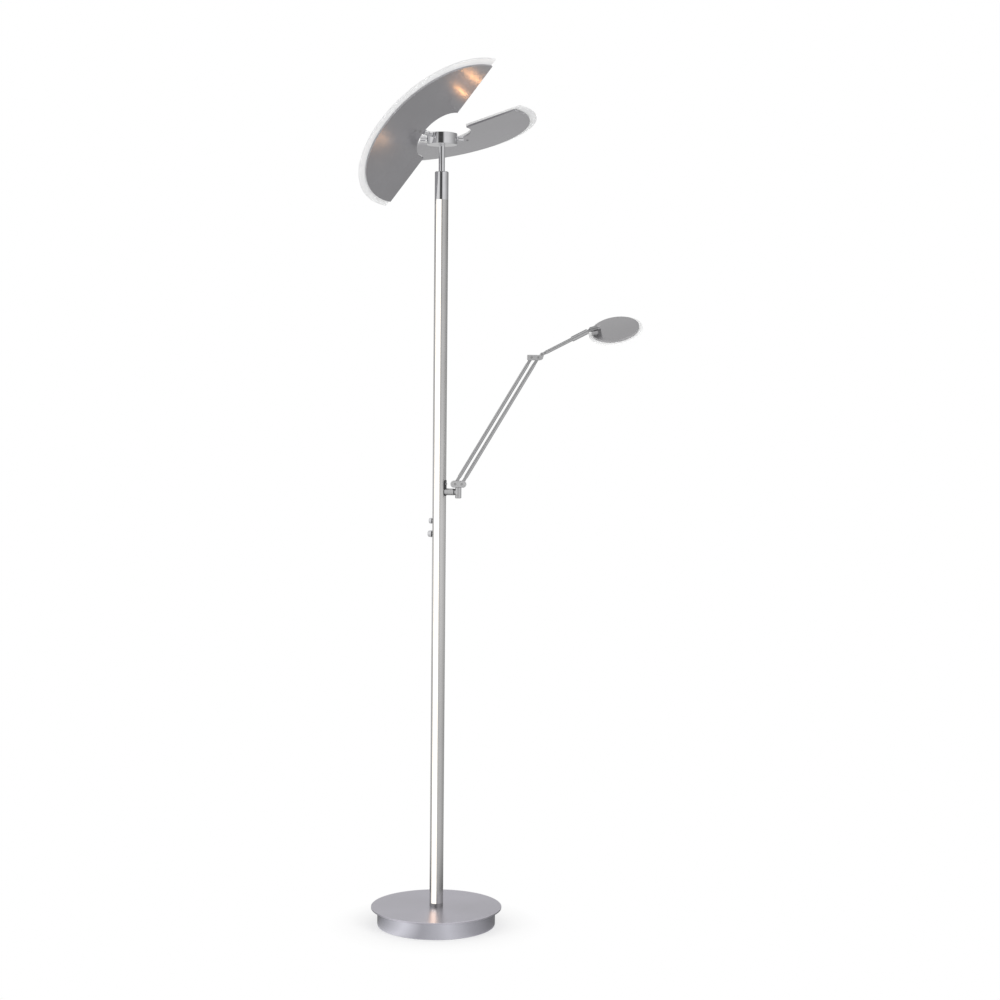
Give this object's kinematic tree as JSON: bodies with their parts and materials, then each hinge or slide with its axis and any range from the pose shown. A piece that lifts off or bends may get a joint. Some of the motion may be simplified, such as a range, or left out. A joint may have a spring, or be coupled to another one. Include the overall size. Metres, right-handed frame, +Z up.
{
  "type": "torchiere floor lamp with reading light",
  "caption": "Floor lamp with half-ring uplighter wings that twist on a chrome hub, a lit strip up the round pole and a parallel-bar arm carrying a small round reading head.",
  "frame": {"origin": "centre of the round base where it stands on the floor", "axes": "+Z up along the pole; the lit strip faces -Y; the reading arm is on the +X side and the dimmer knobs are on the -X side"},
  "size_m": [0.6326, 0.4282, 1.9481],
  "materials": {
    "rubber": "matt black pad",
    "cast_weight": "as cast, painted",
    "satin_base": "satin nickel",
    "dark_plastic": "fine matt black",
    "satin_pole": "satin nickel-coloured, drawn along its length",
    "opal": "opal, lit from behind",
    "board_white": "white circuit board with small yellow lights",
    "dark_chrome": "dark polished nickel",
    "chrome": "polished",
    "satin_wing": "satin nickel",
    "clear_acrylic": "clear, frosted faces and polished edge",
    "bearing_plastic": "moulded white",
    "steel": "plain steel"
  },
  "bodies": {
    "lamp_body": {"base_pad": "rubber", "base_weight": "cast_weight", "base_drum": "satin_base", "base_plate": "satin_base", "cord_bush": "dark_plastic", "base_tube": "steel", "base_washer": "steel", "base_nut": "steel", "pole_foot": "satin_base", "pole_tube": "satin_pole", "strip_board": "board_white", "strip_diffuser": "opal", "upper_dimmer_body": "bearing_plastic", "lower_dimmer_body": "bearing_plastic", "pole_plug": "bearing_plastic", "top_sleeve": "chrome", "neck_rod": "chrome", "neck_clip": "steel", "arm_plate": "dark_plastic", "arm_screw": "steel", "arm_bolt": "steel", "arm_stub": "satin_pole", "arm_ring": "dark_plastic", "arm_post": "satin_pole"},
    "upper_knob": {"upper_dimmer_knob": "chrome"},
    "lower_knob": {"lower_dimmer_knob": "chrome"},
    "hub": {"hub_housing": "chrome", "hub_lid": "chrome", "hub_bush": "bearing_plastic"},
    "left_screw": {"left_hub_screw": "chrome"},
    "right_screw": {"right_hub_screw": "chrome"},
    "front_wing": {"front_wing_arm": "chrome", "front_wing_board": "board_white", "front_wing_clip": "steel", "front_wing_light_plate": "clear_acrylic", "front_wing_ring": "dark_plastic", "front_wing_screws": "steel", "front_wing_tray": "satin_wing"},
    "back_wing": {"back_wing_arm": "chrome", "back_wing_board": "board_white", "back_wing_clip": "steel", "back_wing_light_plate": "clear_acrylic", "back_wing_ring": "dark_plastic", "back_wing_screws": "steel", "back_wing_tray": "satin_wing"},
    "turret": {"lower_knuckle": "dark_chrome", "arm_spindle": "steel", "lower_pins": "steel"},
    "bar_a": {"bar_a": "satin_pole"},
    "bar_b": {"bar_b": "satin_pole"},
    "upper_link": {"upper_knuckle": "dark_chrome", "upper_pins": "steel"},
    "forearm": {"forearm_rod": "satin_pole", "forearm_grip": "satin_wing"},
    "neck": {"head_neck": "dark_chrome", "neck_pin": "steel"},
    "head": {"head_boss": "steel", "head_shell": "satin_wing", "head_board": "board_white", "head_light_plate": "clear_acrylic"}
  },
  "joints": [
    {"name": "hub_swivel", "type": "hinge", "parent": "lamp_body", "child": "hub", "pos_m": [0, 0, 1.771], "axis": [0, 0, 1], "range_deg": [-160, 160]},
    {"name": "front_wing_twist", "type": "hinge", "parent": "hub", "child": "front_wing", "pos_m": [0, 0, 1.7907], "axis": [-0.2334, -0.9724, 0], "range_deg": [-119.5, 30.5]},
    {"name": "back_wing_twist", "type": "hinge", "parent": "hub", "child": "back_wing", "pos_m": [0, 0, 1.7907], "axis": [0.2334, 0.9724, 0], "range_deg": [-63.2, 86.8]},
    {"name": "left_hub_screw_turn", "type": "hinge", "parent": "hub", "child": "left_screw", "pos_m": [0, 0, 1.785], "axis": [-0.9135, -0.4067, 0], "range_deg": [-180, 180]},
    {"name": "right_hub_screw_turn", "type": "hinge", "parent": "hub", "child": "right_screw", "pos_m": [0, 0, 1.785], "axis": [0.9135, 0.4067, 0], "range_deg": [-180, 180]},
    {"name": "upper_dimmer_turn", "type": "hinge", "parent": "lamp_body", "child": "upper_knob", "pos_m": [0, 0, 0.9254], "axis": [-1, 0, 0], "range_deg": [0, 270]},
    {"name": "lower_dimmer_turn", "type": "hinge", "parent": "lamp_body", "child": "lower_knob", "pos_m": [0, 0, 0.8959], "axis": [-1, 0, 0], "range_deg": [0, 270]},
    {"name": "arm_swivel", "type": "hinge", "parent": "lamp_body", "child": "turret", "pos_m": [0.0468, 0, 1.0026], "axis": [0, 0, 1], "range_deg": [-134, 86]},
    {"name": "arm_lift", "type": "hinge", "parent": "turret", "child": "bar_a", "pos_m": [0.03995, -0.00305, 1.0102], "axis": [-0.4067, 0.9135, 0], "range_deg": [-30.7, 19.3]},
    {"name": "bar_b_lift", "type": "hinge", "parent": "turret", "child": "bar_b", "pos_m": [0.05365, 0.00305, 1.0102], "axis": [-0.4067, 0.9135, 0], "range_deg": [-30.7, 19.3]},
    {"name": "upper_link_level", "type": "hinge", "parent": "bar_a", "child": "upper_link", "pos_m": [0.19526, 0.0661, 1.29653], "axis": [-0.4067, 0.9135, 0], "range_deg": [-19.3, 30.7]},
    {"name": "forearm_tilt", "type": "hinge", "parent": "upper_link", "child": "forearm", "pos_m": [0.21673, 0.07566, 1.30383], "axis": [0.4067, -0.9135, 0], "range_deg": [-47.4, 22.6]},
    {"name": "head_tilt", "type": "hinge", "parent": "forearm", "child": "neck", "pos_m": [0.31811, 0.1208, 1.36136], "axis": [0.4067, -0.9135, 0], "range_deg": [-20.6, 54.4]},
    {"name": "head_roll", "type": "hinge", "parent": "neck", "child": "head", "pos_m": [0.31811, 0.1208, 1.36136], "axis": [0.8901, 0.3963, 0.225], "range_deg": [-120.3, 59.7]}
  ],
  "couplings": [
    {"joint": "bar_b_lift", "follows": "arm_lift", "ratio": 1},
    {"joint": "upper_link_level", "follows": "arm_lift", "ratio": -1}
  ]
}
